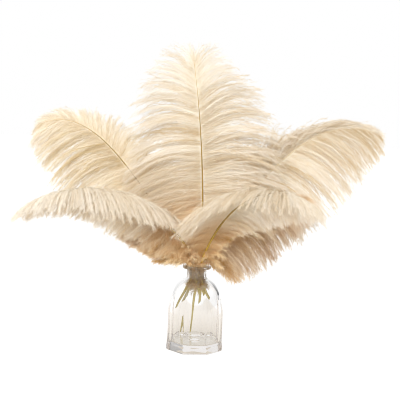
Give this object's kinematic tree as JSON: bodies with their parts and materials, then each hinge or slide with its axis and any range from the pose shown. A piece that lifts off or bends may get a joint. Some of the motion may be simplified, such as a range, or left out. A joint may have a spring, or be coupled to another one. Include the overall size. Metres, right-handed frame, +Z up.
{
  "type": "ostrich feather bouquet in a glass bottle",
  "caption": "Cream ostrich plumes arching out of the neck of a small octagonal clear glass bottle vase.",
  "frame": {"origin": "middle of the bottle's flat foot, on the surface it stands on", "axes": "+Z up through the bottle's neck, +X to the viewer's right along the bouquet's widest spread, +Y away from the viewer"},
  "size_m": [0.4981, 0.2373, 0.407],
  "materials": {
    "clear_glass": "clear pressed glass, polished",
    "cream_barbs": "soft dyed feather barbs, matt",
    "warm_cream_barbs": "soft dyed feather barbs, matt, yellower",
    "tan_barbs": "soft dyed feather barbs, matt, browner"
  },
  "bodies": {
    "root": {"bottle": "clear_glass", "center_feather": "cream_barbs", "upper_left_feather": "warm_cream_barbs", "upper_right_feather": "cream_barbs", "lower_left_feather": "cream_barbs", "lower_right_feather": "cream_barbs", "low_left_feather": "tan_barbs", "low_right_feather": "tan_barbs"}
  },
  "joints": []
}
